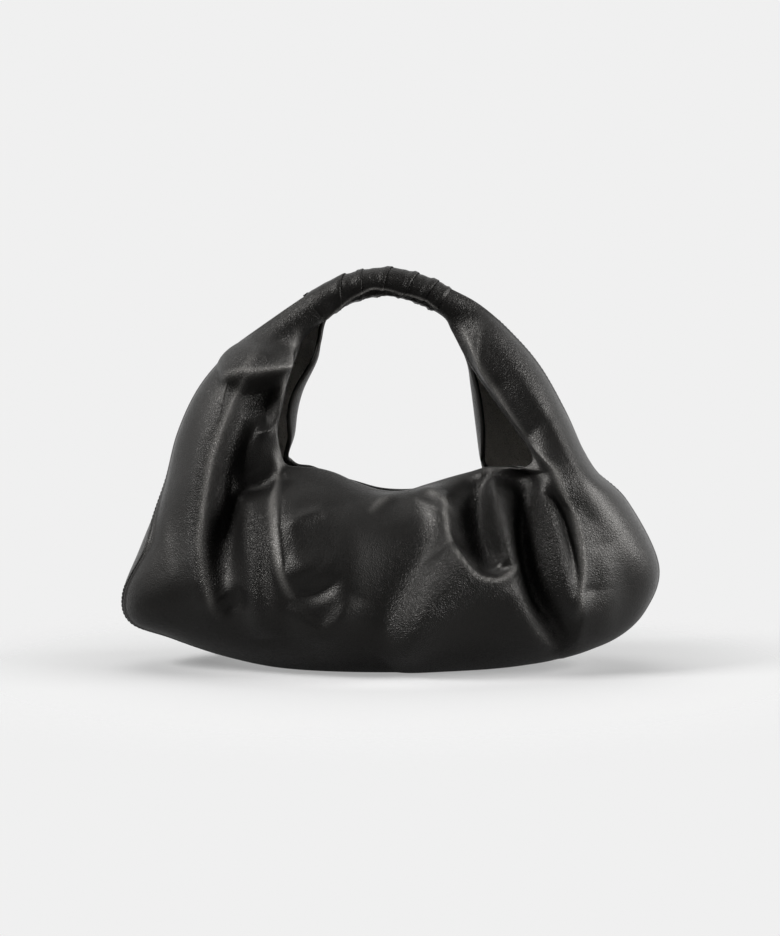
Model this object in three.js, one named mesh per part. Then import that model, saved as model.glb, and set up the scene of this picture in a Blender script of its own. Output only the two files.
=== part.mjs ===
// A slouchy leather shoulder bag: two leather panels, sewn to each other round their outer edge, whose
// arms run up on both sides and meet in a handle, and a leather strip wound round that handle.
// Millimetres. +X is the bag's right as seen from its front, +Y is its back and +Z is up.
import * as THREE from 'three';

// Overall sizes of the bag as it stands
const BAG_WIDTH = 440;
const BAG_HEIGHT = 329;
const BAG_DEPTH = 176;

// Leather, seam and rest
const WALL = 1.8;
const SEAM_GAP = 0.3;
const SEAM_SHOULDER = 3.2;
const SEAM_GROOVE = 1.2;
const SEAM_ALLOWANCE = 7;
const REST_ROUNDING = 3;

// Handle, and the strip wound round it
const HANDLE_RADIUS = 8.7;
const WRAP_THICKNESS = 1.5;
const WRAP_CLEARANCE = 0.45;
const WRAP_OVERLAP = 4.5;
const WRAP_RAMP = 2.4;

// Folds: the depth of the deepest one and the rounding of a middling one
const FOLD_DEPTH = 22;
const FOLD_ROUNDING = 9;
const FOLD_STEP = 6;
const FOLD_SPACING = 2.5;
const EDGE_SPACING = 7;

// The eye that the folds are placed from: they are given as they are seen from in front of the bag,
// a little above its middle, on the upright plane through the seam
const EYE_DISTANCE = 2390;
const EYE_HEIGHT = 372;

// Faces: points across each panel, and steps in one turn of the wound strip
const FRONT_POINTS = 20;
const BACK_POINTS = 10;
const WRAP_STEPS = 10;

const HALF_WIDTH = BAG_WIDTH / 2;
const HALF_DEPTH = BAG_DEPTH / 2;
const FRONT = -1;
const BACK = 1;

// Sections of the bag, each a C that opens inwards, in order round the loop that pouch, arms and
// handle make. Widths are shares of the half width, heights of the bag's height and depths of the half
// depth. Sweeps and the seam's turn are degrees about the section's middle, from the seam. The belly
// is where the section is deepest, as a share of its reach. A seam turned below 0 lies to the front.
const SECTION_COLUMNS = [
  'outerX', 'outerZ', 'frontX', 'frontZ', 'backX', 'backZ', 'frontDepth', 'backDepth',
  'belly', 'frontSweep', 'backSweep', 'backShift', 'seamTurn', 'steps',
];
const POUCH_SECTIONS = [
  [0.334, 0.897, 0.229, 0.842, 0.229, 0.842, 0.130, 0.130, 0.52, 150, 166, 0.00, 0, 2],
  [0.445, 0.832, 0.289, 0.763, 0.281, 0.763, 0.306, 0.281, 0.55, 140, 190, 0.03, 0, 2],
  [0.557, 0.748, 0.386, 0.668, 0.296, 0.698, 0.420, 0.395, 0.55, 135, 205, 0.07, 0, 2],
  [0.654, 0.638, 0.479, 0.583, 0.319, 0.606, 0.521, 0.483, 0.55, 128, 205, 0.09, 0, 2],
  [0.751, 0.503, 0.524, 0.528, 0.334, 0.531, 0.622, 0.596, 0.55, 122, 190, 0.09, 3, 3],
  [0.900, 0.404, 0.479, 0.503, 0.356, 0.508, 0.672, 0.697, 0.52, 130, 165, 0.00, 3, 3],
  [0.993, 0.264, 0.423, 0.501, 0.360, 0.496, 0.672, 0.723, 0.52, 140, 165, 0.00, 0, 3],
  [0.967, 0.150, 0.360, 0.499, 0.334, 0.484, 0.722, 0.773, 0.52, 150, 165, 0.00, 0, 3],
  [0.840, 0.065, 0.296, 0.486, 0.289, 0.474, 0.823, 0.849, 0.54, 158, 165, 0.00, 0, 3],
  [0.632, 0.020, 0.222, 0.474, 0.222, 0.464, 0.912, 0.924, 0.56, 162, 165, 0.00, 0, 3],
  [0.371, -0.007, 0.136, 0.461, 0.143, 0.456, 0.975, 0.975, 0.58, 164, 165, 0.00, 0, 3],
  [0.110, -0.020, 0.050, 0.451, 0.058, 0.454, 1.000, 1.000, 0.58, 164, 165, 0.00, 0, 3],
  [-0.151, -0.020, -0.039, 0.456, -0.039, 0.464, 1.000, 1.000, 0.58, 164, 165, 0.00, 0, 3],
  [-0.393, -0.005, -0.129, 0.476, -0.132, 0.479, 0.975, 0.975, 0.57, 164, 165, 0.00, 0, 3],
  [-0.617, 0.025, -0.207, 0.496, -0.218, 0.489, 0.899, 0.924, 0.55, 162, 165, 0.00, 0, 3],
  [-0.822, 0.065, -0.281, 0.506, -0.293, 0.499, 0.798, 0.849, 0.53, 158, 165, 0.00, -6, 3],
  [-0.967, 0.117, -0.345, 0.508, -0.348, 0.503, 0.672, 0.748, 0.52, 150, 165, 0.00, -10, 3],
  [-1.000, 0.184, -0.389, 0.513, -0.375, 0.516, 0.571, 0.672, 0.52, 142, 165, 0.00, -16, 3],
  [-0.934, 0.299, -0.408, 0.546, -0.389, 0.531, 0.521, 0.622, 0.52, 136, 180, 0.05, -18, 2],
  [-0.848, 0.449, -0.419, 0.593, -0.367, 0.578, 0.496, 0.571, 0.54, 134, 195, 0.09, -8, 2],
  [-0.796, 0.583, -0.408, 0.646, -0.356, 0.638, 0.445, 0.496, 0.55, 136, 205, 0.09, 0, 2],
  [-0.717, 0.698, -0.386, 0.705, -0.334, 0.693, 0.395, 0.420, 0.55, 140, 205, 0.07, 0, 2],
  [-0.606, 0.785, -0.352, 0.770, -0.285, 0.763, 0.306, 0.319, 0.55, 146, 195, 0.03, 0, 2],
  [-0.475, 0.850, -0.322, 0.823, -0.248, 0.837, 0.168, 0.193, 0.52, 155, 180, 0.00, 0, 2],
];

// The handle's sections from left to right: only where their tops lie, because all are round, with the
// handle's radius, and face the middle of the loop that a hand goes through
const HANDLE_TOPS = [[-0.331, 0.911], [-0.186, 0.969], [-0.02, 0.99], [0.11, 0.973], [0.237, 0.935]];
const HANDLE_EYE = [-0.02, 0.581];
const HANDLE_BELLY = 0.5;
const HANDLE_SWEEP = 166;
const HANDLE_STEPS = 3;

// Folds of the front, as seen: three points along each as [width share, height share, how far out as
// a share of the fold depth], and its rounding as a share of the middling one
const FRONT_FOLDS = {
  leftRidgeTop: [[-0.545, 0.8, 0.1], [-0.6, 0.73, 0.3], [-0.635, 0.62, 0.5], 1],
  leftRidgeUpper: [[-0.64, 0.61, 0.5], [-0.68, 0.515, 0.6], [-0.705, 0.405, 0.65], 1],
  leftRidgeLower: [[-0.71, 0.39, 0.65], [-0.72, 0.265, 0.6], [-0.695, 0.175, 0.45], 1],
  leftRidgeFoot: [[-0.685, 0.165, 0.4], [-0.645, 0.13, 0.2], [-0.585, 0.1, 0.05], 1],
  leftFlank: [[-0.69, 0.675, 0], [-0.77, 0.495, 0], [-0.79, 0.265, 0], 2],
  leftFlankFoot: [[-0.8, 0.22, 0], [-0.785, 0.14, 0], [-0.69, 0.08, 0], 2],
  leftFacet: [[-0.48, 0.825, 0.15], [-0.44, 0.79, 0.3], [-0.4, 0.805, 0.2], 1.6],
  leftFacetFold: [[-0.57, 0.75, 0.4], [-0.495, 0.74, 0.45], [-0.41, 0.74, 0.35], 0.7],
  leftPocket: [[-0.56, 0.69, -0.4], [-0.495, 0.675, -0.5], [-0.435, 0.68, -0.35], 1],
  leftValleyTop: [[-0.55, 0.62, -0.65], [-0.54, 0.54, -0.75], [-0.55, 0.47, -0.7], 1.2],
  leftValleyLow: [[-0.57, 0.42, -0.65], [-0.6, 0.32, -0.6], [-0.64, 0.23, -0.4], 1],
  leftInnerWall: [[-0.455, 0.57, -0.3], [-0.45, 0.505, -0.25], [-0.45, 0.465, -0.2], 1.2],
  leftBumpTop: [[-0.505, 0.44, -0.15], [-0.53, 0.345, 0.1], [-0.525, 0.265, 0.3], 1.4],
  leftBumpLow: [[-0.51, 0.22, 0.4], [-0.485, 0.145, 0.35], [-0.465, 0.07, 0.05], 1.4],
  leftDip: [[-0.455, 0.39, -0.1], [-0.455, 0.305, 0], [-0.45, 0.23, 0.15], 1.2],
  creaseRidge: [[-0.41, 0.47, 0.05], [-0.42, 0.38, 0.35], [-0.42, 0.285, 0.45], 0.8],
  creaseRidgeLow: [[-0.415, 0.255, 0.45], [-0.395, 0.205, 0.3], [-0.355, 0.16, 0.1], 0.8],
  creaseValley: [[-0.39, 0.46, -0.3], [-0.38, 0.37, -0.5], [-0.38, 0.27, -0.45], 0.8],
  creaseFoot: [[-0.37, 0.22, -0.3], [-0.335, 0.16, -0.15], [-0.3, 0.11, -0.05], 1],
  lobeTop: [[-0.335, 0.47, 0], [-0.32, 0.42, 0], [-0.315, 0.4, 0.05], 1.2],
  lobeMiddle: [[-0.325, 0.33, 0.15], [-0.3, 0.3, 0.35], [-0.27, 0.265, 0.3], 1.2],
  lobeFold: [[-0.36, 0.195, 0.1], [-0.31, 0.205, 0.3], [-0.26, 0.225, 0.3], 0.8],
  lobeFoot: [[-0.32, 0.1, 0.1], [-0.265, 0.105, 0.35], [-0.205, 0.13, 0.35], 1],
  middleLeftValley: [[-0.255, 0.46, -0.25], [-0.235, 0.405, -0.5], [-0.21, 0.35, -0.5], 1],
  middleLeftFoot: [[-0.2, 0.305, -0.35], [-0.2, 0.255, -0.05], [-0.215, 0.205, 0.1], 1],
  middleLeftRidge: [[-0.165, 0.34, -0.1], [-0.155, 0.27, 0.3], [-0.155, 0.205, 0.4], 1],
  middleLeftRidgeFoot: [[-0.16, 0.175, 0.4], [-0.175, 0.14, 0.3], [-0.2, 0.12, 0.3], 1],
  scoopValley: [[0.005, 0.37, -0.55], [-0.085, 0.32, -0.8], [-0.115, 0.24, -0.7], 1.4],
  scoopFoot: [[-0.12, 0.19, -0.65], [-0.12, 0.12, -0.45], [-0.115, 0.05, -0.1], 1.4],
  scoopRimLeft: [[-0.17, 0.405, -0.05], [-0.12, 0.415, -0.1], [-0.07, 0.425, -0.05], 1],
  scoopRim: [[-0.02, 0.425, 0.05], [0.07, 0.435, 0.2], [0.155, 0.44, 0.35], 1],
  scoopHook: [[0.195, 0.425, 0.4], [0.22, 0.39, 0.45], [0.23, 0.34, 0.45], 0.8],
  upperBand: [[0.155, 0.38, -0.2], [0.09, 0.295, -0.15], [0.03, 0.205, 0.05], 1.2],
  bandFoot: [[-0.01, 0.155, 0.2], [-0.045, 0.085, 0.3], [-0.07, 0.02, 0.1], 1.2],
  lowerBand: [[0.245, 0.25, 0.25], [0.145, 0.19, 0.4], [0.045, 0.12, 0.4], 1.2],
  pocketLip: [[0.24, 0.305, 0.45], [0.305, 0.26, 0.45], [0.38, 0.235, 0.45], 0.8],
  pocket: [[0.28, 0.435, -0.35], [0.295, 0.365, -0.9], [0.325, 0.305, -1], 1.2],
  pocketFloor: [[0.29, 0.305, -0.5], [0.35, 0.275, -0.85], [0.405, 0.26, -0.65], 0.8],
  pocketRidge: [[0.375, 0.465, -0.1], [0.375, 0.415, 0.25], [0.385, 0.365, 0.45], 1],
  pocketRidgeLow: [[0.395, 0.335, 0.45], [0.42, 0.295, 0.45], [0.45, 0.26, 0.4], 1],
  rightValleyTop: [[0.44, 0.47, -0.45], [0.46, 0.415, -0.8], [0.47, 0.355, -1], 1.2],
  rightValley: [[0.485, 0.305, -1], [0.52, 0.245, -0.9], [0.555, 0.19, -0.8], 1.2],
  rightValleyFoot: [[0.585, 0.155, -0.65], [0.615, 0.105, -0.45], [0.655, 0.06, -0.2], 1.2],
  rightBump: [[0.535, 0.47, -0.3], [0.56, 0.38, -0.05], [0.59, 0.285, 0.1], 1.2],
  rightBumpLow: [[0.6, 0.26, 0.1], [0.625, 0.21, 0.1], [0.64, 0.17, 0], 1],
  rightRidge: [[0.585, 0.48, 0.35], [0.64, 0.425, 0.5], [0.685, 0.345, 0.55], 1.2],
  rightRidgeLow: [[0.7, 0.29, 0.55], [0.71, 0.23, 0.5], [0.685, 0.16, 0.3], 1.2],
  rightRidgeFoot: [[0.675, 0.13, 0.2], [0.67, 0.095, 0.1], [0.67, 0.065, 0], 1.2],
  armRidge: [[0.345, 0.765, 0.15], [0.42, 0.67, 0.25], [0.485, 0.61, 0.3], 0.8],
  armRidgeLow: [[0.51, 0.585, 0.3], [0.535, 0.545, 0.35], [0.56, 0.51, 0.35], 0.8],
  rightFlank: [[0.78, 0.365, 0.1], [0.825, 0.265, 0.1], [0.815, 0.165, 0.05], 2],
  rightArmFlank: [[0.52, 0.705, 0.05], [0.615, 0.59, 0.05], [0.705, 0.465, 0.05], 2],
  valleyShoulder: [[0.48, 0.205, 0.3], [0.52, 0.14, 0.3], [0.575, 0.075, 0.1], 1.2],
  middleFoot: [[0.11, 0.07, 0.05], [0.22, 0.07, 0.05], [0.335, 0.055, 0], 2],
};

// Folds of the back, given in the same way, seen through the bag from its front
const BACK_FOLDS = {
  leftRidge: [[-0.6, 0.615, 0.2], [-0.625, 0.465, 0.3], [-0.605, 0.265, 0.1], 2],
  leftValley: [[-0.48, 0.565, -0.25], [-0.49, 0.415, -0.35], [-0.48, 0.265, -0.1], 2],
  middleLeftValley: [[-0.26, 0.415, -0.25], [-0.245, 0.29, -0.3], [-0.28, 0.165, -0.1], 2],
  middleLeftRidge: [[-0.13, 0.405, 0.2], [-0.15, 0.265, 0.25], [-0.105, 0.115, 0.1], 2],
  middleValley: [[0.035, 0.39, -0.2], [0.015, 0.265, -0.3], [0.055, 0.14, -0.1], 2],
  middleRightRidge: [[0.205, 0.405, 0.2], [0.22, 0.265, 0.3], [0.185, 0.115, 0.1], 2],
  rightValley: [[0.37, 0.415, -0.25], [0.39, 0.29, -0.35], [0.365, 0.155, -0.1], 2],
  rightRidge: [[0.555, 0.49, 0.2], [0.595, 0.34, 0.3], [0.575, 0.19, 0.1], 2],
};
const FOLD_RIM_FADE = 0.1;
const FOLD_SEAM_FADE = 0.07;
const FOLD_HANDLE_FADE = 20;

// Places of the strip's edges on top of the handle, from its right end to its left, as shares of the
// wound length, with one turn from each to the next
const WRAP_EDGES = [0.95, 0.85, 0.72, 0.56, 0.39, 0.28, 0.02];

function leather(colour, roughness) {
  return new THREE.MeshStandardMaterial({ color: colour, roughness, metalness: 0 });
}

function smoothstep(from, to, value) {
  const share = Math.min(1, Math.max(0, (value - from) / (to - from)));
  return share * share * (3 - 2 * share);
}

// A cubic through the middle two of four values, with slopes from their neighbours
function cubic(before, from, to, after, share) {
  const slopeFrom = (to - before) / 2;
  const slopeTo = (after - from) / 2;
  const rise = to - from;
  const square = share * share;
  return from + slopeFrom * share
    + (3 * rise - 2 * slopeFrom - slopeTo) * square
    + (slopeFrom + slopeTo - 2 * rise) * square * share;
}

// One row of the handle as a full section: its inner side lies a handle's thickness from its top
function handleSection([shareX, shareZ]) {
  const top = new THREE.Vector2(shareX * HALF_WIDTH, shareZ * BAG_HEIGHT);
  const eye = new THREE.Vector2(HANDLE_EYE[0] * HALF_WIDTH, HANDLE_EYE[1] * BAG_HEIGHT);
  const inner = eye.sub(top).setLength(2 * HANDLE_RADIUS).add(top);
  return {
    outerX: top.x, outerZ: top.y, frontX: inner.x, frontZ: inner.y, backX: inner.x, backZ: inner.y,
    frontDepth: HANDLE_RADIUS, backDepth: HANDLE_RADIUS, belly: HANDLE_BELLY,
    frontSweep: HANDLE_SWEEP, backSweep: HANDLE_SWEEP, backShift: 0, seamTurn: 0, steps: HANDLE_STEPS,
  };
}

// One row of the pouch or an arm, from shares to millimetres
function pouchSection(row) {
  const section = Object.fromEntries(SECTION_COLUMNS.map((column, index) => [column, row[index]]));
  for (const column of ['outerX', 'frontX', 'backX']) section[column] *= HALF_WIDTH;
  for (const column of ['outerZ', 'frontZ', 'backZ']) section[column] *= BAG_HEIGHT;
  for (const column of ['frontDepth', 'backDepth', 'backShift']) section[column] *= HALF_DEPTH;
  return section;
}

const MIDDLE_OF_HANDLE = 2;
const HANDLE_SECTIONS = HANDLE_TOPS.map(handleSection);
const SECTIONS = [
  ...HANDLE_SECTIONS.slice(MIDDLE_OF_HANDLE),
  ...POUCH_SECTIONS.map(pouchSection),
  ...HANDLE_SECTIONS.slice(0, MIDDLE_OF_HANDLE),
];

// The section at a place on the loop, counted in rows, between the rows' own sections
function sectionAt(place) {
  const count = SECTIONS.length;
  const row = Math.floor(place);
  const rows = [-1, 0, 1, 2].map((offset) => SECTIONS[(row + offset + count) % count]);
  const section = {};
  for (const column of SECTION_COLUMNS) {
    section[column] = cubic(...rows.map((entry) => entry[column]), place - row);
  }
  return section;
}

// A point of the undented bag. The angle starts at the outer edge, turns by a right angle to the
// deepest place and goes on to the rim. Past the outer edge the other side's shape goes on.
function smoothPoint(section, side, angle) {
  const here = (angle < 0 ? -side : side) === FRONT ? 'front' : 'back';
  const depth = section[`${here}Depth`];
  const sweep = THREE.MathUtils.degToRad(section[`${here}Sweep`]);
  const rightAngle = Math.PI / 2;
  const cosine = Math.cos(angle);
  let reach = section.belly + (1 - section.belly) * cosine;
  let out = depth * Math.sin(angle);
  if (angle > rightAngle) {
    const shift = here === 'front' ? 0 : section.backShift;
    const fallOff = sweep > Math.PI ? cosine : -cosine / Math.cos(sweep);
    reach = section.belly * (1 + fallOff);
    out = shift + (depth - shift) * Math.sin(angle);
  }
  return new THREE.Vector3(
    section.outerX * reach + section[`${here}X`] * (1 - reach),
    side * out,
    section.outerZ * reach + section[`${here}Z`] * (1 - reach),
  );
}

function angleOf(section, side, share) {
  const name = side === FRONT ? 'frontSweep' : 'backSweep';
  const sweep = THREE.MathUtils.degToRad(section[name]);
  const seam = THREE.MathUtils.degToRad(section.seamTurn) * side;
  return sweep + (seam - sweep) * share;
}

// Where a point is seen by the eye, on the upright plane through the seam
function seen(point, side) {
  const scale = EYE_DISTANCE / (EYE_DISTANCE - side * point.y);
  return new THREE.Vector2(point.x * scale, EYE_HEIGHT + (point.z - EYE_HEIGHT) * scale);
}

// Places on the loop where the bag is cut into rings of points
function stationPlaces() {
  const places = [];
  SECTIONS.forEach((section, row) => {
    for (let step = 0; step < section.steps; step += 1) places.push(row + step / section.steps);
  });
  return places;
}

function isFree(centres, place, spacing) {
  return centres.every((centre) => centre.place.distanceTo(place) >= spacing);
}

// Points along a fold, on the parabola through its three given points
function foldCentres(folds) {
  const centres = [];
  for (const [from, middle, to, rounding] of Object.values(folds)) {
    const [start, mid, end] = [from, middle, to].map(([shareX, shareZ, out]) => new THREE.Vector3(
      shareX * HALF_WIDTH, shareZ * BAG_HEIGHT, out * FOLD_DEPTH,
    ));
    const length = Math.hypot(mid.x - start.x, mid.y - start.y) + Math.hypot(end.x - mid.x, end.y - mid.y);
    const count = Math.max(3, Math.round(length / FOLD_STEP));
    for (let index = 0; index < count; index += 1) {
      const share = (index + 0.5) / count;
      const point = start.clone().multiplyScalar(2 * (share - 0.5) * (share - 1))
        .addScaledVector(mid, 4 * share * (1 - share))
        .addScaledVector(end, 2 * share * (share - 0.5));
      const place = new THREE.Vector2(point.x, point.y);
      if (!isFree(centres, place, FOLD_SPACING)) continue;
      centres.push({ place, out: point.z, rounding: rounding * FOLD_ROUNDING });
    }
  }
  return centres;
}

// The panel's rim and seam stay where the sections put them
function addStillEdges(centres, side) {
  for (const share of [0, 1]) {
    for (let place = 0; place < SECTIONS.length; place += 0.5) {
      const section = sectionAt(place);
      const edge = seen(smoothPoint(section, side, angleOf(section, side, share)), side);
      if (isFree(centres, edge, EDGE_SPACING)) {
        centres.push({ place: edge, out: 0, rounding: FOLD_ROUNDING });
      }
    }
  }
  return centres;
}

function bump(centre, place) {
  return Math.hypot(centre.place.distanceTo(place), centre.rounding);
}

// Solves a set of linear equations, each row ending in its right-hand side
function solve(rows) {
  const count = rows.length;
  for (let column = 0; column < count; column += 1) {
    let best = column;
    for (let row = column + 1; row < count; row += 1) {
      if (Math.abs(rows[row][column]) > Math.abs(rows[best][column])) best = row;
    }
    [rows[column], rows[best]] = [rows[best], rows[column]];
    for (let row = column + 1; row < count; row += 1) {
      const factor = rows[row][column] / rows[column][column];
      if (factor === 0) continue;
      for (let item = column; item <= count; item += 1) rows[row][item] -= factor * rows[column][item];
    }
  }
  const answer = new Array(count).fill(0);
  for (let row = count - 1; row >= 0; row -= 1) {
    let rest = rows[row][count];
    for (let item = row + 1; item < count; item += 1) rest -= rows[row][item] * answer[item];
    answer[row] = rest / rows[row][row];
  }
  return answer;
}

// The leather between the folds: a smooth height that takes each fold's own value along it
function foldHeight(folds, side) {
  const centres = addStillEdges(foldCentres(folds), side);
  const rows = centres.map((centre) => [
    ...centres.map((other) => bump(other, centre.place)), 1, centre.out,
  ]);
  rows.push([...centres.map(() => 1), 0, 0]);
  const weights = solve(rows);
  return (place) => {
    let height = weights[centres.length];
    centres.forEach((centre, index) => { height += weights[index] * bump(centre, place); });
    return height;
  };
}

// The underside is flattened where the bag rests, with a soft turn up from the surface
function flattened(height) {
  if (height < -REST_ROUNDING) return 0;
  if (height > REST_ROUNDING) return height;
  return (height + REST_ROUNDING) ** 2 / (4 * REST_ROUNDING);
}

// Outward directions at the points of a closed ring of sections
function outwardDirections(rings, side) {
  return rings.map((ring, index) => ring.map((point, item) => {
    const next = rings[(index + 1) % rings.length][item];
    const last = rings[(index + rings.length - 1) % rings.length][item];
    const along = next.clone().sub(last);
    const across = ring[Math.min(item + 1, ring.length - 1)].clone().sub(ring[Math.max(item - 1, 0)]);
    return along.cross(across).multiplyScalar(-side).normalize();
  }));
}

function arcLength(section, side) {
  const PIECES = 12;
  let length = 0;
  let last = smoothPoint(section, side, angleOf(section, side, 0));
  for (let piece = 1; piece <= PIECES; piece += 1) {
    const next = smoothPoint(section, side, angleOf(section, side, piece / PIECES));
    length += next.distanceTo(last);
    last = next;
  }
  return length;
}

// The turned-in edge that is sewn to the other panel: the groove's floor, the allowance and its back
function seamEdge(section, side) {
  const seam = smoothPoint(section, side, angleOf(section, side, 1));
  seam.z = flattened(seam.z);
  const inner = new THREE.Vector3(
    (section.frontX + section.backX) / 2, 0, (section.frontZ + section.backZ) / 2,
  );
  const inward = inner.sub(new THREE.Vector3(section.outerX, 0, section.outerZ)).normalize();
  const face = seam.clone().setY(seam.y + side * SEAM_GAP / 2);
  const wall = new THREE.Vector3(0, side * WALL, 0);
  const floor = face.clone().addScaledVector(inward, SEAM_GROOVE);
  const end = face.clone().addScaledVector(inward, SEAM_GROOVE + SEAM_ALLOWANCE);
  const inside = floor.clone().addScaledVector(inward, WALL).add(wall);
  return [floor, end, end.clone().add(wall), inside];
}

// One leather panel, as closed loops of points round its wall, one for each place on the bag's loop
function panelLoops(side, folds, pointCount) {
  const height = foldHeight(folds, side);
  const sections = stationPlaces().map(sectionAt);
  const smoothRings = sections.map((section) => {
    const shoulder = 1 - SEAM_SHOULDER / arcLength(section, side);
    return Array.from({ length: pointCount }, (_, item) => (
      smoothPoint(section, side, angleOf(section, side, shoulder * item / (pointCount - 1)))
    ));
  });
  const smoothOut = outwardDirections(smoothRings, side);
  const rings = smoothRings.map((ring, index) => ring.map((point, item) => {
    const share = item / (pointCount - 1);
    const depth = sections[index][side === FRONT ? 'frontDepth' : 'backDepth'];
    const fade = smoothstep(0, FOLD_RIM_FADE, share)
      * smoothstep(0, FOLD_SEAM_FADE, 1 - share)
      * smoothstep(0, FOLD_HANDLE_FADE, depth - HANDLE_RADIUS);
    const dented = point.clone().addScaledVector(smoothOut[index][item], fade * height(seen(point, side)));
    dented.z = flattened(dented.z);
    return dented;
  }));
  const out = outwardDirections(rings, side);
  return rings.map((ring, index) => {
    const lining = ring.map((point, item) => point.clone().addScaledVector(out[index][item], -WALL));
    return [...ring, ...seamEdge(sections[index], side), ...lining.reverse()];
  });
}

// Two triangles over four corners, split along the shorter diagonal, which is the one that a fold
// crossing the four runs along
function fourCorners(points, a, b, c, d) {
  const splitAC = points[a].distanceTo(points[c]) <= points[b].distanceTo(points[d]);
  return splitAC ? [a, b, c, a, c, d] : [a, b, d, b, c, d];
}

// A body from loops of points that follow each other, closed end to end or by flat ends
function loftedGeometry(loops, closed) {
  const size = loops[0].length;
  const points = loops.flat();
  const positions = points.flatMap((point) => [point.x, point.y, point.z]);
  const indices = [];
  const last = closed ? loops.length : loops.length - 1;
  for (let loop = 0; loop < last; loop += 1) {
    const here = loop * size;
    const next = ((loop + 1) % loops.length) * size;
    for (let item = 0; item < size; item += 1) {
      const side = (item + 1) % size;
      indices.push(...fourCorners(points, here + item, next + item, next + side, here + side));
    }
  }
  const geometry = new THREE.BufferGeometry();
  geometry.setAttribute('position', new THREE.Float32BufferAttribute(positions, 3));
  return { geometry, indices, size };
}

function turnOver(indices) {
  for (let item = 0; item < indices.length; item += 3) {
    [indices[item + 1], indices[item + 2]] = [indices[item + 2], indices[item + 1]];
  }
  return indices;
}

function finished({ geometry, indices }) {
  geometry.setIndex(indices);
  geometry.computeVertexNormals();
  return geometry;
}

function panelGeometry(side, folds, pointCount) {
  const lofted = loftedGeometry(panelLoops(side, folds, pointCount), true);
  if (side === BACK) turnOver(lofted.indices);
  return finished(lofted);
}

// The line through the middle of the handle, from its left end to its right
function handleLine() {
  const ends = [-MIDDLE_OF_HANDLE, HANDLE_TOPS.length - 1 - MIDDLE_OF_HANDLE];
  const PIECES = 48;
  const points = [];
  for (let piece = 0; piece <= PIECES; piece += 1) {
    const place = ends[0] + (ends[1] - ends[0]) * piece / PIECES;
    const section = sectionAt(place < 0 ? place + SECTIONS.length : place);
    points.push(new THREE.Vector3(
      (section.outerX + section.frontX) / 2, 0, (section.outerZ + section.frontZ) / 2,
    ));
  }
  return new THREE.CatmullRomCurve3(points);
}

// Place of the strip's later edge after a number of turns, as a share of the wound length
function edgeShare(turn) {
  const held = Math.min(WRAP_EDGES.length - 1, Math.max(0, turn));
  const index = Math.min(WRAP_EDGES.length - 2, Math.floor(held));
  return THREE.MathUtils.lerp(WRAP_EDGES[index], WRAP_EDGES[index + 1], held - index);
}

// The strip's section after a number of turns: each turn's right edge lies over the turn before it
function wrapLoop(line, length, turn) {
  const left = edgeShare(turn + 1) * length;
  const covered = edgeShare(turn) * length;
  const right = covered + WRAP_OVERLAP;
  const lifted = covered - 2 * WRAP_CLEARANCE;
  const rampEnd = Math.max(lifted, (left + right) / 2);
  const rampStart = Math.max(rampEnd - WRAP_RAMP, (left + rampEnd) / 2);
  const flat = (left + rampStart) / 2;
  const angle = turn * 2 * Math.PI;
  const facetReach = 1 / Math.cos(Math.PI / WRAP_STEPS);
  const radius = (HANDLE_RADIUS + WRAP_CLEARANCE) * facetReach;
  const step = (WRAP_THICKNESS + WRAP_CLEARANCE) * smoothstep(-2 / WRAP_STEPS, 0, turn);
  const liftAt = (distance) => step * THREE.MathUtils.clamp(1 + (distance - lifted) / WRAP_RAMP, 0, 1);
  const at = (distance, reach) => {
    const share = THREE.MathUtils.clamp(distance / length, 0, 1);
    const centre = line.getPointAt(share);
    const tangent = line.getTangentAt(share);
    const up = new THREE.Vector3(-tangent.z, 0, tangent.x);
    return centre
      .addScaledVector(up, reach * Math.cos(angle))
      .add(new THREE.Vector3(0, -reach * Math.sin(angle), 0));
  };
  const inside = [left, flat, rampStart, rampEnd, right].map((distance) => [distance, liftAt(distance)]);
  const outside = inside.map(([distance, rise]) => [distance, rise + WRAP_THICKNESS]);
  return [...outside, ...inside.reverse()].map(([distance, rise]) => at(distance, radius + rise));
}

function wrapGeometry() {
  const line = handleLine();
  const length = line.getLength();
  const turns = WRAP_EDGES.length - 1;
  const loops = [];
  for (let step = -WRAP_STEPS; step <= turns * WRAP_STEPS; step += 1) {
    loops.push(wrapLoop(line, length, step / WRAP_STEPS));
  }
  const lofted = loftedGeometry(loops, false);
  const points = lofted.size;
  const start = (loops.length - 1) * points;
  for (let item = 0; item < points / 2 - 1; item += 1) {
    const across = points - 1 - item;
    lofted.indices.push(item, item + 1, across - 1, item, across - 1, across);
    lofted.indices.push(start + item, start + across - 1, start + item + 1);
    lofted.indices.push(start + item, start + across, start + across - 1);
  }
  return finished(lofted);
}

function namedMesh(name, geometry, material) {
  const mesh = new THREE.Mesh(geometry, material);
  mesh.name = name;
  return mesh;
}

const bag = new THREE.Group();
bag.name = 'shoulder_bag';
bag.add(
  namedMesh('front_panel', panelGeometry(FRONT, FRONT_FOLDS, FRONT_POINTS), leather(0x1d1c1b, 0.5)),
  namedMesh('back_panel', panelGeometry(BACK, BACK_FOLDS, BACK_POINTS), leather(0x1d1c1b, 0.5)),
  namedMesh('handle_wrap', wrapGeometry(), leather(0x201f1e, 0.45)),
);

// The bag rests on the ground with the middle of its outline over the origin
const reach = new THREE.Box3().setFromObject(bag);
const middle = reach.getCenter(new THREE.Vector3());
bag.position.set(-middle.x, -middle.y, -reach.min.z);

export default bag;
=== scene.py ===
"""A slouchy black leather shoulder bag in a pale studio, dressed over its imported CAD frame.

The two leather panels, the strip wound round the handle and the stitches are surfaces worked out with
numpy, from the same sections and folds as the part's own source, in metres and much finer.
"""

import math

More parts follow.
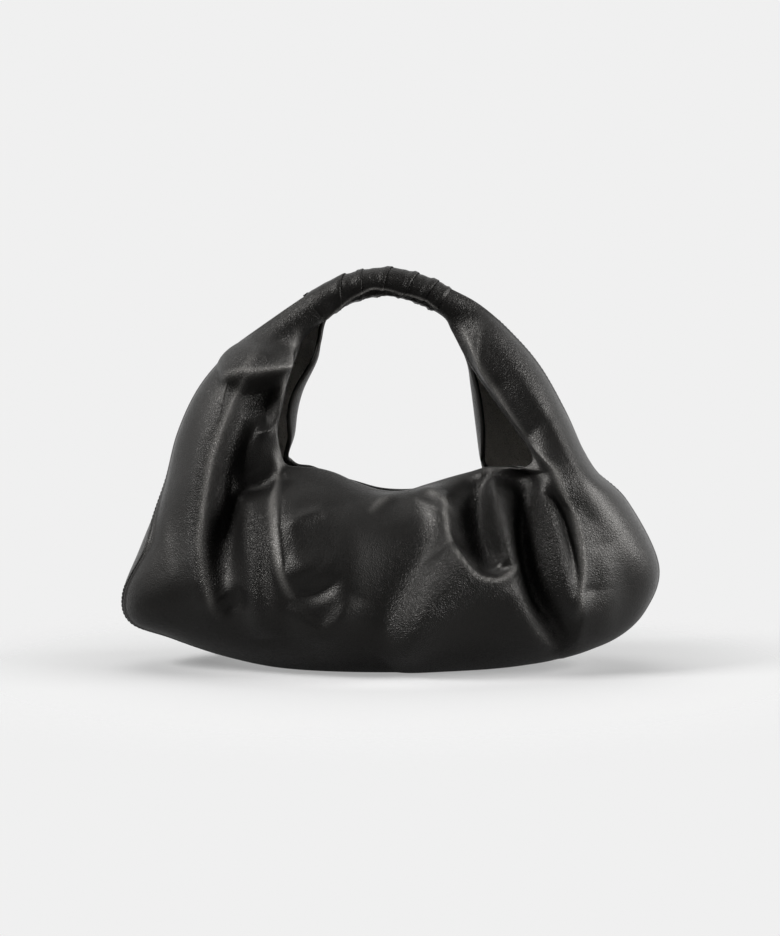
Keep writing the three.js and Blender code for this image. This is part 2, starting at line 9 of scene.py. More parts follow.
import bpy
import numpy as np
from bpy.props import FloatProperty, FloatVectorProperty, PointerProperty
from bpy.types import Operator, Panel, PropertyGroup
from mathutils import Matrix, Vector


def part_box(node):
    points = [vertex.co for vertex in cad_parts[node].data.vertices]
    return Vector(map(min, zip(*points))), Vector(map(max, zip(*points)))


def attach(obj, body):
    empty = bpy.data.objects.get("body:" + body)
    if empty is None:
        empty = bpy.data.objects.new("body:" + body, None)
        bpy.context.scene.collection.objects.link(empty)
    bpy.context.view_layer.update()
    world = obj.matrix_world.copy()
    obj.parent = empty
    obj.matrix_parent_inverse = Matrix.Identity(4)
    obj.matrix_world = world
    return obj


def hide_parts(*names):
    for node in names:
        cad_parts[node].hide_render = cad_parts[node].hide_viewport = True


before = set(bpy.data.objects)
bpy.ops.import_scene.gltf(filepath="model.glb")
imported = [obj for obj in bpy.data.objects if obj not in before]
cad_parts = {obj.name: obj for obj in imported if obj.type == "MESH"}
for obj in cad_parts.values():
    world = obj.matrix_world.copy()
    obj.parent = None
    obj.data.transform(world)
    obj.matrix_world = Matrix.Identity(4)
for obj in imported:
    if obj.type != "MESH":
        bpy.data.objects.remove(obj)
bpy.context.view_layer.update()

bl_info = {
    "name": "Leather shoulder bag",
    "version": (1, 0, 0),
    "blender": (4, 5, 0),
    "location": "3D View > Sidebar > Bag",
    "description": "Builds a slouchy leather shoulder bag and its studio",
    "category": "Object",
}

MM = 0.001
FRONT, BACK = -1, 1

# The bag as it stands. It is drawn about its seam, which lies in front of or behind the frame's middle
HALF_WIDTH = 220 * MM
HEIGHT = 329 * MM
HALF_DEPTH = 88 * MM
WRAP_LOW, WRAP_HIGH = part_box("handle_wrap")
SEAM_PLANE = (WRAP_LOW.y + WRAP_HIGH.y) / 2
HANDLE_RADIUS = 10 * MM
WALL = 1.8 * MM

# Seam between the panels, the turned rim, and the soft turn up from the ground
SEAM_GAP = 0.3 * MM
SEAM_GROOVE = 1.6 * MM
SEAM_GROOVE_WIDTH = 1.5 * MM
SEAM_LIP = 0.9 * MM
SEAM_LIP_PLACE = 4.0 * MM
SEAM_LIP_WIDTH = 2.2 * MM
SEAM_ALLOWANCE = 7 * MM
RIM_ROLL = 5.0 * MM
RIM_ROLL_BACK = 2.4 * MM
RIM_ROLL_ARMS = 2.0 * MM
RIM_ROLL_DEPTHS = (0.7, 0.95)
RIM_HEM = 14 * MM
HEM_COLUMNS = 3
REST_ROUNDING = 3 * MM

ROW_STEPS = 15
FRONT_ACROSS = 129
BACK_ACROSS = 81
INSIDE_STRIDE = 2
ROLL_STEPS = 7

# Folds: the steps along each, and where they fade at the rim, at the seam and towards the handle
FOLD_STEPS = 16
FOLD_RIM_FADE = 0.07
FOLD_SEAM_FADE = 0.2
FOLD_HANDLE_FADE = 20 * MM
TINY = 1e-12

# The leather is slack and grained where folds are this high and, by a share, at these heights in the
# arms. A highlight is painted pale on crests that are crisper than this, where they aren't turned from the
# eye
SLACK_FOLDS = (4.5 * MM, 14 * MM)
SLACK_HEIGHTS = (190 * MM, 270 * MM)
ARM_SLACK = 0.35
CRISP = 1.35
CREST_WIDTH = 2.6 * MM
TURNED_AWAY = (0.3, 0.75)

# The eye that the folds are placed from, the camera that stands there with its sensor in mm and its
# sight in metres, and the frame's pixels
EYE_DISTANCE = 2390 * MM
EYE_HEIGHT = 372 * MM
CAMERA_DISTANCE = 2400 * MM
CAMERA_RISE = math.radians(5)
AIM_HEIGHT = 163 * MM
FRAME_WIDTH = 639 * MM
FRAME_PIXELS = (780, 936)
AIM_PIXEL = (390.5, 468.5)
MIDDLE_PIXEL = np.array([390.5, 667])
PIXEL_SIZE = np.array([0.8194, -0.8225]) * MM
SENSOR = 36
CAMERA_SIGHT = 20

# The leather's textures as scale per metre, detail and roughness, and the height of each as a share of
# the grain's depth
BEND = (260.0, 1.0, 0.5)
BEND_REACH = 1.6 * MM
NOISE_MIDDLE = (0.5, 0.5, 0.5)
PATCHES = (28.0, 2.0, 0.5)
PATCH_HEIGHTS = (0.3, 0.7, 0.65, 1.0)
PEBBLE_EDGE = 0.34
SMALL_PEBBLES = 2.1
SMALL_PEBBLE_EDGE = 0.3
SMALL_PEBBLE_HEIGHT = 0.3
PORES = (2600.0, 2.0, 0.5)
PORE_HEIGHT = 0.22
CRINKLES = (110.0, 3.0, 0.6)
CRINKLE_HEIGHT = 2.6
CREVICE_EDGE = 0.12
TIGHT_GRAIN = 0.22

# The leather's wear and painted light: the patches that are worn, the painted shade and highlight, and
# how much darker, duller or smoother a place is
WORN_PATCHES = (0.35, 0.75, 0.0, 0.35)
WORN_SMOOTHER = 0.1
# Shade painted into the grain's creases: how much darker they get, and the tone they get
CREVICE_SHADE_SHARE = 0.55
CREVICE_SHADE_TONE = 0.003
CREVICE_ROUGHER = 0.2
# A highlight painted pale on the crisp crests of folds and along the wound strip's ridge
CREST_HIGHLIGHT_COLOUR = (0.14, 0.135, 0.128, 1)
SPECULAR_TINT = (1.0, 0.97, 0.93, 1)

# Finishes of the leather: roughness, specular level, and how much finer and deeper its grain is
PANEL_FINISH = (0.37, 0.34, 1.0, 1.0)
STRIP_FINISH = (0.36, 0.3, 1.0, 0.4)
FLESH_FINISH = (0.5, 0.5, 1.6, 0.5)
# The flesh side's colours: paler than the hide's, and raised to a pale grey as painted light on faces that
# lie in shade
FLESH_PAINTED_LIGHT_COLOURS = ((0.6, 0.585, 0.56), (0.65, 0.635, 0.61))

# The thread: how closely it is twisted, how the twist shows, and its colours
THREAD_TWISTS = 900.0
THREAD_WANDER = 0.5
THREAD_BUMP = 0.6
THREAD_RELIEF = 0.1 * MM
THREAD_ROUGHNESS = 0.4
THREAD_COLOURS = ((0.02, 0.02, 0.02, 1), (0.06, 0.058, 0.055, 1))

# The studio: the floor and its glow under the bag, the room's tones from front to back, the light
# overhead, and the softboxes as name, place, size and share of the power
FLOOR_RADIUS = 6
FLOOR_FADE = (0.19, 0.44)
FLOOR_SIDES = 64
FLOOR_CLOUDS = (1.5, 1.0, 0.5)
FLOOR_CLOUD_TONE = 0.99
FLOOR_GLOW = 0.32
FLOOR_BOUNCE = 0.5
# The floor's stronger glow under the bag is painted light that lightens the bag's shadow there
REST_PATCH = (0.2, 0.13, 1.0)
REST_FADE = (0.5, 1.0)
REST_GLOW = 0.34
WORLD_TURN = (-0.3, 0.9)
WORLD_FRONT = 0.03
WORLD_BEHIND = 1.0
OVERHEAD_PLACE = (-0.2, 0.3, 2)
OVERHEAD_SIZE = math.radians(40)
SOFTBOXES = [
    ("key", (-2.6, -1.2, 2.14), 1.2, 27.0),
    ("left", (-2.8, 0.2, 1.04), 1.8, 1.0),
    ("right", (2.8, -0.6, 1.04), 2.0, 32.0),
]

SECTION_COLUMNS = [
    "outer_x", "outer_z", "front_x", "front_z", "back_x", "back_z", "front_depth", "back_depth",
    "belly", "front_sweep", "back_sweep", "back_shift", "seam_turn",
]
# Sections of the pouch and arms, each a C that opens inwards, in order round the loop that the pouch,
# the arms and the handle make, from the right arm's top. Widths are shares of the half width, heights
# of the height, depths of the half depth and the belly of the section's reach. Sweeps and the seam's
# turn are degrees from the outer edge. A seam turned below 0 lies to the front.
POUCH_SECTIONS = [
    [0.334, 0.901, 0.229, 0.838, 0.229, 0.838, 0.138, 0.138, 0.52, 150, 166, 0.00, 0],
    [0.445, 0.834, 0.289, 0.763, 0.281, 0.763, 0.306, 0.281, 0.55, 140, 190, 0.03, 0],
    [0.553, 0.750, 0.382, 0.672, 0.298, 0.698, 0.420, 0.395, 0.55, 135, 205, 0.07, 0],
    [0.648, 0.638, 0.475, 0.587, 0.316, 0.606, 0.521, 0.483, 0.55, 128, 205, 0.09, 0],
    [0.745, 0.503, 0.522, 0.532, 0.331, 0.529, 0.622, 0.596, 0.55, 122, 190, 0.09, 3],
    [0.880, 0.414, 0.479, 0.508, 0.340, 0.502, 0.672, 0.697, 0.52, 130, 165, 0.00, 3],
    [0.998, 0.256, 0.423, 0.508, 0.342, 0.492, 0.672, 0.723, 0.52, 140, 165, 0.00, 0],
    [0.952, 0.144, 0.360, 0.507, 0.325, 0.483, 0.722, 0.773, 0.52, 150, 165, 0.00, 0],
    [0.832, 0.069, 0.296, 0.494, 0.289, 0.474, 0.823, 0.849, 0.54, 158, 165, 0.00, 0],
    [0.632, 0.024, 0.222, 0.480, 0.222, 0.460, 0.912, 0.924, 0.56, 162, 165, 0.00, 0],
    [0.371, -0.007, 0.136, 0.463, 0.143, 0.445, 0.975, 0.975, 0.58, 164, 165, 0.00, 0],
    [0.110, -0.020, 0.050, 0.447, 0.058, 0.438, 1.000, 1.000, 0.58, 164, 165, 0.00, 0],
    [-0.151, -0.020, -0.039, 0.449, -0.039, 0.442, 1.000, 1.000, 0.58, 164, 165, 0.00, 0],
    [-0.393, -0.005, -0.129, 0.468, -0.132, 0.459, 0.975, 0.975, 0.57, 164, 165, 0.00, 0],
    [-0.617, 0.027, -0.207, 0.491, -0.218, 0.476, 0.899, 0.924, 0.55, 162, 165, 0.00, 0],
    [-0.822, 0.074, -0.281, 0.504, -0.293, 0.497, 0.798, 0.849, 0.53, 158, 165, 0.00, -6],
    [-0.969, 0.111, -0.345, 0.507, -0.346, 0.503, 0.672, 0.748, 0.52, 150, 165, 0.00, -8],
    [-1.000, 0.184, -0.389, 0.513, -0.372, 0.516, 0.571, 0.672, 0.52, 142, 165, 0.00, -17],
    [-0.934, 0.299, -0.408, 0.546, -0.379, 0.531, 0.521, 0.622, 0.52, 136, 180, 0.05, -33],
    [-0.844, 0.449, -0.419, 0.593, -0.357, 0.578, 0.496, 0.571, 0.54, 134, 195, 0.09, -6],
    [-0.790, 0.583, -0.408, 0.646, -0.345, 0.638, 0.445, 0.496, 0.55, 136, 205, 0.09, 0],
    [-0.711, 0.695, -0.386, 0.705, -0.322, 0.693, 0.395, 0.420, 0.55, 140, 205, 0.07, 0],
    [-0.602, 0.781, -0.352, 0.770, -0.272, 0.763, 0.306, 0.319, 0.55, 146, 195, 0.03, 0],
    [-0.475, 0.850, -0.322, 0.818, -0.256, 0.812, 0.175, 0.193, 0.52, 155, 180, 0.00, 0],
]

# Round sections of the handle, left to right: its top and its radius in mm, and the middle of the loop
# that they all face
HANDLE_TOPS = [
    [-0.280, 0.939, 12.4], [-0.170, 0.974, 11.2], [-0.02, 0.992, 10.9], [0.11, 0.975, 10.9],
    [0.237, 0.937, 11.4],
]
HANDLE_EYE = [-0.02, 0.581]
HANDLE_BELLY = 0.5
HANDLE_SWEEP = 166
MIDDLE_OF_HANDLE = 2

# Folds of the front, as the camera sees them on the upright plane through the seam: three points along
# each in pixels of the frame, its height in mm, which is below 0 for a valley, its half widths in mm to
# the left and right of its run, and its roundness, which is 2 for a bell and less for a crisper crest
FRONT_FOLDS = {
    "left_ridge": [(262, 346), (207, 492), (220, 624), 14, 7, 16, 1.3],
    "left_flank_line": [(157, 512), (167, 548), (168, 610), 0.7, 7, 10, 1.6],
    "left_facet_edge": [(222, 383), (258, 374), (296, 366), 11, 24, 4, 1.3],
    "left_facet_pocket": [(228, 394), (256, 396), (288, 388), -15, 8, 24, 2],
    "left_rim_hook": [(256, 432), (272, 428), (286, 404), 5, 4, 5, 1.4],
    "left_valley": [(242, 416), (219, 506), (216, 602), -14, 16, 9, 2],
    "left_undercut": [(232, 486), (256, 484), (284, 470), -6, 9, 8, 2],
    "left_bump": [(252, 490), (258, 560), (264, 640), 12, 13, 13, 2.2],
    "left_dimple": [(218, 606), (232, 606), (246, 590), -4, 8, 8, 2],
    "crease_ridge": [(281, 440), (275, 536), (292, 600), 5.5, 3.5, 8, 1.3],
    "crease_groove": [(288, 490), (284, 548), (300, 598), -1.5, 6, 4, 2],
    "lobe": [(290, 480), (286, 540), (300, 596), 5, 26, 5, 2],
    "lobe_wrinkle": [(284, 532), (304, 520), (326, 512), 2.2, 5, 8, 2],
    "lobe_lip": [(282, 572), (306, 572), (334, 552), 3, 12, 6, 2],
    "lobe_dimple": [(286, 592), (312, 596), (340, 576), -4, 6, 7, 2],
    "middle_left_ridge": [(340, 506), (350, 576), (338, 630), 2.5, 18, 14, 2],
    "middle_left_foot": [(352, 596), (322, 630), (284, 596), 6, 14, 8, 1.8],
    "scoop": [(442, 514), (414, 566), (378, 652), -9, 12, 34, 2],
    "scoop_rim": [(368, 514), (414, 488), (456, 516), 5, 18, 5, 1.3],
    "scoop_side": [(448, 492), (450, 540), (474, 572), 9, 4.5, 8, 1.3],
    "scoop_band": [(470, 548), (432, 606), (384, 664), 12, 24, 16, 1.7],
    "pocket_lip": [(450, 546), (486, 580), (524, 560), 13, 3, 22, 1.25],
    "pocket": [(474, 474), (484, 532), (500, 564), -20, 9, 17, 2],
    "pocket_ridge": [(496, 464), (499, 530), (518, 574), 13, 11, 7, 1.8],
    "right_valley": [(530, 470), (530, 560), (567, 654), -19, 9, 11, 2],
    "valley_shoulder": [(514, 584), (536, 625), (566, 662), 7, 5, 20, 1.5],
    "right_bump": [(543, 474), (554, 545), (571, 618), 14, 10, 13, 2],
    "right_ridge": [(526, 440), (574, 516), (573, 622), 11, 20, 5, 1.3],
    "right_ridge_foot": [(578, 592), (576, 630), (556, 654), 7, 18, 6, 1.4],
    "right_flank_swell": [(600, 545), (606, 595), (596, 640), 3, 12, 12, 2],
    "rim_dip": [(482, 470), (506, 474), (528, 470), -8, 8, 10, 2],
    "left_arm_rim": [(299, 326), (287, 372), (275, 414), 3, 3, 5, 1.2],
    "right_arm_rim": [(458, 322), (487, 376), (532, 446), 3.5, 5, 3, 1.2],
    "arm_fold": [(489, 314), (480, 346), (494, 388), 6, 10, 5, 1.4],
    "arm_ridge": [(494, 362), (520, 404), (534, 452), 2, 12, 10, 2],
}

# Folds of the back, given in the same way, seen through the bag from its front
BACK_FOLDS = {
    "left_ridge": [(229, 421), (223, 481), (228, 561), 5, 20, 20, 2],
    "left_valley": [(262, 441), (259, 501), (262, 561), -7, 16, 16, 2],
    "middle_left_valley": [(321, 501), (325, 551), (315, 601), -6, 16, 16, 2],
    "middle_left_ridge": [(356, 505), (350, 561), (362, 621), 5, 18, 18, 2],
    "middle_valley": [(400, 511), (395, 561), (405, 611), -6, 16, 16, 2],
    "middle_right_ridge": [(446, 505), (450, 561), (440, 621), 6, 18, 18, 2],
    "right_valley": [(490, 501), (495, 551), (488, 605), -7, 16, 16, 2],
    "right_ridge": [(540, 471), (550, 531), (545, 591), 6, 20, 20, 2],
}

# The strip: its size, the places of its edges on top of the handle, right to left, as shares of the
# wound length, how it climbs over itself, and how its two ends sink into the arms
WRAP_THICKNESS = 0.95 * MM
WRAP_CLEARANCE = 0.2 * MM
WRAP_OVERLAP = 3.5 * MM
WRAP_RAMP = 2.0 * MM
WRAP_EDGES = np.array([0.95, 0.85, 0.72, 0.56, 0.39, 0.28, 0.02])
WRAP_EDGE_WIDTH = 0.6
WRAP_EDGE_DEPTH = 0.45
WRAP_STEPS = 120
WRAP_FIRST_STEP = 0.2
WRAP_ACROSS = 14
WRAP_BEYOND = 0.3
WRAP_SINK = 2.4 * MM
WRAP_SINK_SHARES = (0.9, 1.0)
WRAP_SINK_LEFT = 1.3 * MM
WRAP_SINK_LEFT_SHARES = (0.08, 0.0)
WRAP_UNDERSIDE = 0.4
HANDLE_SAMPLES = 400

# Relief of the strip: a ridge at places along the wrap and at angles from its top, towards the front,
# with a groove below it by a share of its height, an angle and a width, ribs between two angles
# beyond the ridge, and wrinkles that wander
WRAP_RIDGE = 1.3 * MM
RIDGE_SHARES = [0, 0.3, 0.45, 0.65, 0.85, 1]
RIDGE_ANGLES = [165, 130, 111, 131, 122, 138]
RIDGE_WIDTH = 0.09
GROOVE_SHARE, GROOVE_BELOW, GROOVE_WIDTH = 0.9, 0.2, 0.13
WRAP_RIB = 0.22 * MM
WRAP_RIBS = 46
RIBS_BEGIN = (0.1, 0.5)
RIBS_END, RIBS_FADE = 4.6, 0.4
WRAP_WRINKLE = 0.18 * MM
WRAP_WRINKLES = 17
WRINKLE_WANDER = 2.2

# Stitches beside the seam on the back panel, from the right arm's top round to the left's
STITCH_FROM_SEAM = 4.5 * MM
STITCH_PLACES = (3.5, 25.5)
STITCH_PITCH = 3.6 * MM
STITCH_LENGTH = 2.8 * MM
STITCH_RADIUS = 0.3 * MM
STITCH_RINGS = 6
STITCH_SIDES = 6
STITCH_FULLNESS = 1.05
STITCH_RISE = 0.3


def smoothstep(low, high, value):
    """A soft step from 0 at low to 1 at high, level at both ends."""
    share = np.clip((value - low) / (high - low), 0.0, 1.0)
    return share * share * (3 - 2 * share)


def handle_section(top):
    """One round section of the handle: its inner side lies two radii from its top, towards the eye."""
    outer = np.array(top[:2]) * [HALF_WIDTH, HEIGHT]
    radius = top[2] * MM
    toward = np.array(HANDLE_EYE) * [HALF_WIDTH, HEIGHT] - outer
    inner = outer + toward / np.linalg.norm(toward) * 2 * radius
    return [*outer, *inner, *inner, radius, radius, HANDLE_BELLY, HANDLE_SWEEP, HANDLE_SWEEP, 0, 0]


def all_sections():
    """The whole loop's sections in metres, from the handle's middle round to it again."""
    scale = [HALF_WIDTH, HEIGHT] * 3 + [HALF_DEPTH] * 2 + [1, 1, 1, HALF_DEPTH, 1]
    handle = [handle_section(top) for top in HANDLE_TOPS]
    pouch = (np.array(POUCH_SECTIONS) * scale).tolist()
    return np.array(handle[MIDDLE_OF_HANDLE:] + pouch + handle[:MIDDLE_OF_HANDLE])


SECTIONS = all_sections()


def along_loop(column, place):
    """A column's value at places on the loop, counted in rows: a cubic through the two nearest rows
    with slopes from the rows beside them, going round without an end."""
    values = SECTIONS[:, SECTION_COLUMNS.index(column)]
    count = len(values)
    row = np.floor(place).astype(int)
    share = place - row
    before, start, end, after = (values[(row + offset) % count] for offset in (-1, 0, 1, 2))
    slope_start, slope_end, rise = (end - before) / 2, (after - start) / 2, end - start
    return (start + slope_start * share
            + (3 * rise - 2 * slope_start - slope_end) * share ** 2
            + (slope_start + slope_end - 2 * rise) * share ** 3)


def of_panel(side, column, place):
    """A column's value for the front or for the back panel."""
    return along_loop(("front_" if side == FRONT else "back_") + column, place)


def section_angle(place, share, side):
    """The angle about the section's middle at shares of the way from the rim to the seam."""
    sweep = np.radians(of_panel(side, "sweep", place))
    seam = np.radians(along_loop("seam_turn", place)) * side
    return sweep + (seam - sweep) * share


def smooth_panel(place, share, side):
    """The undented panel: at each place on the loop, a C-shaped section runs from the rim over the
    deepest place to the outer edge. Its reach is a cosine and its depth a sine of the angle, about
    the belly. Below angle 0 the surface goes on with the other side's shape."""
    angle = section_angle(place, share, side)
    past = angle < 0
    depth, inner_x, inner_z = (
        np.where(past, of_panel(-side, column, place), of_panel(side, column, place))
        for column in ("depth", "x", "z"))
    belly = along_loop("belly", place)
    sweep = np.radians(of_panel(side, "sweep", place))
    shift = along_loop("back_shift", place) if side == BACK else 0.0
    cosine, sine = np.cos(angle), np.sin(angle)
    low = angle > math.pi / 2
    fall = np.where(sweep > math.pi, cosine, -cosine / np.cos(np.minimum(sweep, math.pi)))
    reach = np.where(low, belly * (1 + fall), belly + (1 - belly) * cosine)
    out = np.where(low, shift + (depth - shift) * sine, depth * sine)
    x = along_loop("outer_x", place) * reach + inner_x * (1 - reach)
    z = along_loop("outer_z", place) * reach + inner_z * (1 - reach)
    return np.stack(np.broadcast_arrays(x, side * out, z), -1)


def seen(points, side):
    """Where the eye sees points on the upright plane through the seam: the line from the eye to each
    point, cut by that plane."""
    scale = EYE_DISTANCE / (EYE_DISTANCE - side * points[..., 1])
    return np.stack([points[..., 0] * scale, EYE_HEIGHT + (points[..., 2] - EYE_HEIGHT) * scale], -1)


def fold_heights(places, folds):
    """The sum of the folds: each is a bell or a crisper crest across its line, a parabola through its
    three points, with a width of its own on either side, and dies away at both of the line's ends.
    The sum of their sizes tells how slack the leather is. The crisp crests mark where a highlight is
    painted."""
    total, slack, crest = np.zeros((3, len(places)))
    for start, middle, end, height, left, right, roundness in folds.values():
        given = (np.array([start, middle, end]) - MIDDLE_PIXEL) * PIXEL_SIZE
        t = np.linspace(0, 1, FOLD_STEPS + 1)[:, None]
        line = (given[0] * 2 * (t - 0.5) * (t - 1) + given[1] * 4 * t * (1 - t)
                + given[2] * 2 * t * (t - 0.5))
        run = np.diff(line, axis=0)
        gap = places[:, None] - line[None, :-1]
        share = np.clip((gap * run).sum(-1) / (run ** 2).sum(-1), 0, 1)
        beside = gap - share[..., None] * run
        distance = np.hypot(beside[..., 0], beside[..., 1])
        nearest = distance.argmin(1)
        item = np.arange(len(places))
        turn = run[nearest, 0] * beside[item, nearest, 1] - run[nearest, 1] * beside[item, nearest, 0]
        width = np.where(turn > 0, left, right) * MM
        along = (nearest + share[item, nearest]) / FOLD_STEPS
        taper = 1 - np.abs(2 * along - 1) ** 3
        part = height * MM * taper * np.exp(-(distance[item, nearest] / width) ** roundness)
        total += part
        slack += np.abs(part)
        # Crisp crests get a painted highlight
        if height > 0 and roundness < CRISP:
            crest += taper * np.exp(-(distance[item, nearest] / CREST_WIDTH) ** 2)
    return total, slack, crest


def outward(points, side):
    """Unit directions out of a panel: across its two grid directions, which run round the loop and
    from the rim to the seam."""
    round_loop = np.roll(points, -1, 0) - np.roll(points, 1, 0)
    across = np.gradient(points, axis=1)
    normal = np.cross(round_loop, across) * -side
    return normal / np.maximum(np.linalg.norm(normal, axis=-1, keepdims=True), TINY)


def flattened(height):
    """The underside lies on the ground, with a soft turn up from it."""
    turn = (height + REST_ROUNDING) ** 2 / (4 * REST_ROUNDING)
    return np.where(height < -REST_ROUNDING, 0.0, np.where(height > REST_ROUNDING, height, turn))


def distance_from_end(points):
    """How far each point of each ring lies from the ring's last point, along the ring."""
    steps = np.linalg.norm(np.diff(points, axis=1), axis=2)
    backwards = np.cumsum(steps[:, ::-1], 1)[:, ::-1]
    return np.concatenate([backwards, np.zeros((len(points), 1))], 1)


def toward_the_seam(place):
    """Unit directions from the inside of the loop's sections to their outer edges."""
    x = along_loop("outer_x", place) - (along_loop("front_x", place) + along_loop("back_x", place)) / 2
    z = along_loop("outer_z", place) - (along_loop("front_z", place) + along_loop("back_z", place)) / 2
    length = np.hypot(x, z)
    return np.stack([x / length, np.zeros(len(x)), z / length], -1)


def outer_leather(side, folds, across):
    """The outside of one panel on a grid round the loop and from rim to seam: the undented panel,
    moved outwards by its folds, flattened where it rests, and shaped along the seam by a low lip and
    a groove. Gives the places of the rings, the grid of points, how slack the leather is there and where a
    highlight is painted on its crests. It is slack in its folds and in the gathered arms, and tight where
    the weight draws it."""
    place = (np.arange(len(SECTIONS) * ROW_STEPS) / ROW_STEPS)[:, None]
    share = np.linspace(0, 1, across)[None, :]
    smooth = smooth_panel(place, share, side)
    depth = of_panel(side, "depth", place)
    fade = (smoothstep(0, FOLD_RIM_FADE, share) * smoothstep(0, FOLD_SEAM_FADE, 1 - share)
            * smoothstep(0, FOLD_HANDLE_FADE, depth - HANDLE_RADIUS))
    places = seen(smooth, side).reshape(-1, 2)
    height, folded, crest = (values.reshape(smooth.shape[:2]) for values in fold_heights(places, folds))
    points = smooth + outward(smooth, side) * (fade * height)[..., None]
    points[..., 2] = flattened(points[..., 2])
    from_seam = distance_from_end(points)
    lip = SEAM_LIP * np.exp(-((from_seam - SEAM_LIP_PLACE) / SEAM_LIP_WIDTH) ** 2)
    groove = SEAM_GROOVE * np.exp(-(from_seam / SEAM_GROOVE_WIDTH) ** 2)
    points = points + outward(points, side) * lip[..., None]
    points -= toward_the_seam(place[:, 0])[:, None] * groove[..., None]
    points[..., 2] = np.maximum(points[..., 2], 0)
    points[..., 1] += side * SEAM_GAP / 2
    slack = np.maximum(smoothstep(*SLACK_FOLDS, folded),
                       ARM_SLACK * smoothstep(*SLACK_HEIGHTS, points[..., 2]))
    # The painted highlight fades at the seam and where the surface turns from the eye
    crest *= smoothstep(0, FOLD_SEAM_FADE, 1 - share)
    crest *= smoothstep(*TURNED_AWAY, np.abs(outward(points, side)[..., 1]))
    return place[:, 0], points, slack, crest


def rim_radius(place, side):
    """How round the turned rim is: full over the mouth and slim along the arms and the handle."""
    mouth = smoothstep(*RIM_ROLL_DEPTHS, of_panel(side, "depth", place) / HALF_DEPTH)
    full = RIM_ROLL if side == FRONT else RIM_ROLL_BACK
    return RIM_ROLL_ARMS + (full - RIM_ROLL_ARMS) * mouth


def panel_rings(side, folds, across):
    """One panel as a closed ring at each place round the closed loop: the outside from rim to seam,
    the edge turned in at the seam, the inside back to the rim, and half a circle over the rim."""
    place, outside, slack, crest = outer_leather(side, folds, across)
    normals = outward(outside, side)
    radius = rim_radius(place, side)[:, None]
    hem = 1 - smoothstep(0, RIM_HEM, distance_from_end(outside[:, ::-1])[:, ::-1])
    thickness = WALL + (2 * radius - WALL) * hem
    inside = (outside - normals * thickness[..., None])[:, ::-INSIDE_STRIDE]
    tangent = outside[:, :1] - outside[:, 1:2]
    tangent /= np.linalg.norm(tangent, axis=-1, keepdims=True)
    turn = np.linspace(math.pi, 0, ROLL_STEPS + 2)[None, 1:-1, None]
    bow = tangent * np.sin(turn) - normals[:, :1] * (1 - np.cos(turn))
    roll = outside[:, :1] + radius[..., None] * bow
    inward = -toward_the_seam(place)
    toward_side = np.array([0, side * WALL, 0])
    end = outside[:, -1] + inward * SEAM_ALLOWANCE
    corner = outside[:, -1] + inward * (WALL + SEAM_GROOVE) + toward_side
    edge = np.stack([end, end + toward_side, corner], 1)
    rings = np.concatenate([outside, edge, inside[:, 1:], roll], 1)
    rings[..., 1] += SEAM_PLANE
    rings[..., 2] = np.maximum(rings[..., 2], 0)
    return rings, slack, crest


def ring_faces(rings, points):
    """Four-cornered faces of a grid that closes on itself both ways."""
    ring, point = np.arange(rings)[:, None], np.arange(points)[None, :]
    here, there, beside = ring * points, (ring + 1) % rings * points, (point + 1) % points
    corners = [here + point, there + point, there + beside, here + beside]
    return np.stack(corners, -1).reshape(-1, 4)


def new_piece(name, vertices, faces, materials):
    """A smooth piece at the origin, made from whole arrays of points and faces."""
    mesh = bpy.data.meshes.new(name)
    mesh.vertices.add(len(vertices))
    mesh.vertices.foreach_set("co", np.asarray(vertices, np.float32).ravel())
    mesh.loops.add(faces.size)
    mesh.loops.foreach_set("vertex_index", faces.astype(np.int32).ravel())
    mesh.polygons.add(len(faces))
    mesh.polygons.foreach_set("loop_start", np.arange(0, faces.size, faces.shape[1], dtype=np.int32))
    mesh.polygons.foreach_set("use_smooth", np.ones(len(faces), bool))
    mesh.update(calc_edges=True)
    if mesh.validate():
        raise RuntimeError(f"The mesh of {name} has faults")
    for material in materials:
        mesh.materials.append(material)
    piece = bpy.data.objects.new(name, mesh)
    bpy.context.scene.collection.objects.link(piece)
    return piece


def give_values(piece, name, values):
    """Lays one value at each of the piece's points, for its materials."""
    layer = piece.data.attributes.new(name, "FLOAT", "POINT")
    layer.data.foreach_set("value", values.astype(np.float32).ravel())


def enclosed_volume(vertices, faces):
    """The volume inside a closed mesh of four-cornered faces, which is below 0 if it is inside out."""
    a, b, c, d = (vertices[faces[:, corner]] for corner in range(4))
    return (np.einsum("ij,ij->", a, np.cross(b, c)) + np.einsum("ij,ij->", a, np.cross(c, d))) / 6


def closed_piece(name, vertices, faces, materials):
    """A new piece whose faces are turned outwards, if they weren't."""
    if enclosed_volume(vertices, faces) < 0:
        faces = faces[:, ::-1]
    return new_piece(name, vertices, faces, materials)


def leather_panel(node, side, folds, across):
    """A leather piece that stands for one of the CAD panels."""
    rings, slack, crest = panel_rings(side, folds, across)
    count, points = rings.shape[:2]
    piece = closed_piece(node.replace("panel", "leather"), rings.reshape(-1, 3),
                         ring_faces(count, points), [pebbled_leather(), flesh_side()])
    inner = np.zeros((count, points), np.int32)
    inner[:, across + 1:points - ROLL_STEPS - HEM_COLUMNS] = 1
    piece.data.polygons.foreach_set("material_index", inner.ravel())
    for name, outside in (("slack", slack), ("crest", crest)):
        values = np.zeros((count, points))
        values[:, :across] = np.minimum(outside, 1)
        give_values(piece, name, values)
    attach(piece, "root")
    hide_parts(node)


